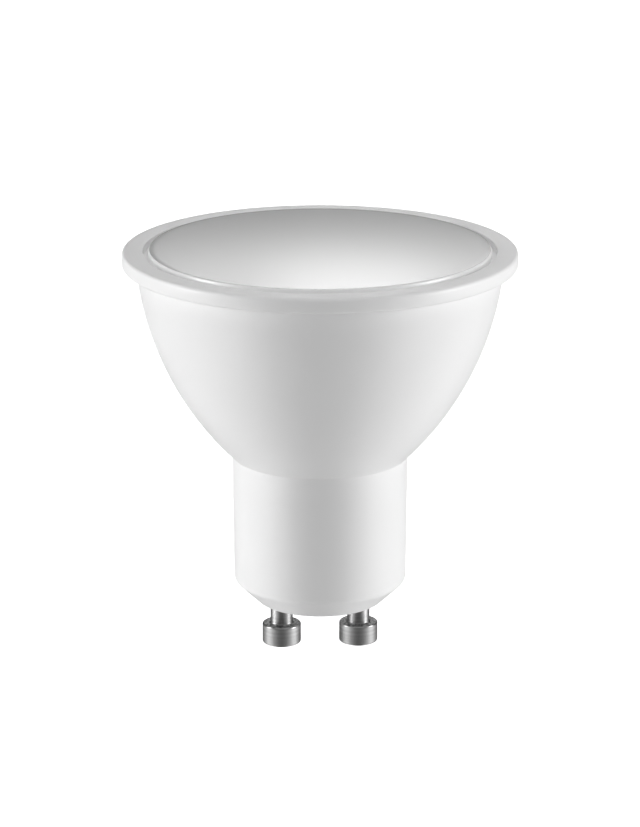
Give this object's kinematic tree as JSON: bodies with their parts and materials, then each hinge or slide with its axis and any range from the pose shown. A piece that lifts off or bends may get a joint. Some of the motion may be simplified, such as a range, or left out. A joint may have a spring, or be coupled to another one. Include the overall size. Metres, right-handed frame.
{
  "type": "gu10 spotlight bulb",
  "caption": "Spotlight bulb with a flared white moulded housing, a flat opal lens set in its rim, and a bevelled base with turned twist-lock contact pins.",
  "frame": {"origin": "on the lamp's axis, in the plane of the pin tips", "axes": "+Z along the lamp's axis, from the pins to the lens; the two pins stand along X"},
  "size_m": [0.05, 0.05, 0.0531],
  "materials": {
    "white_plastic": "satin white moulded plastic",
    "opal_plastic": "smooth opal moulded plastic",
    "nickel_plate": "nickel plate over a turned pin"
  },
  "bodies": {
    "root": {"housing": "white_plastic", "diffuser_lens": "opal_plastic", "contact_pin_left": "nickel_plate", "contact_pin_right": "nickel_plate"}
  },
  "joints": []
}
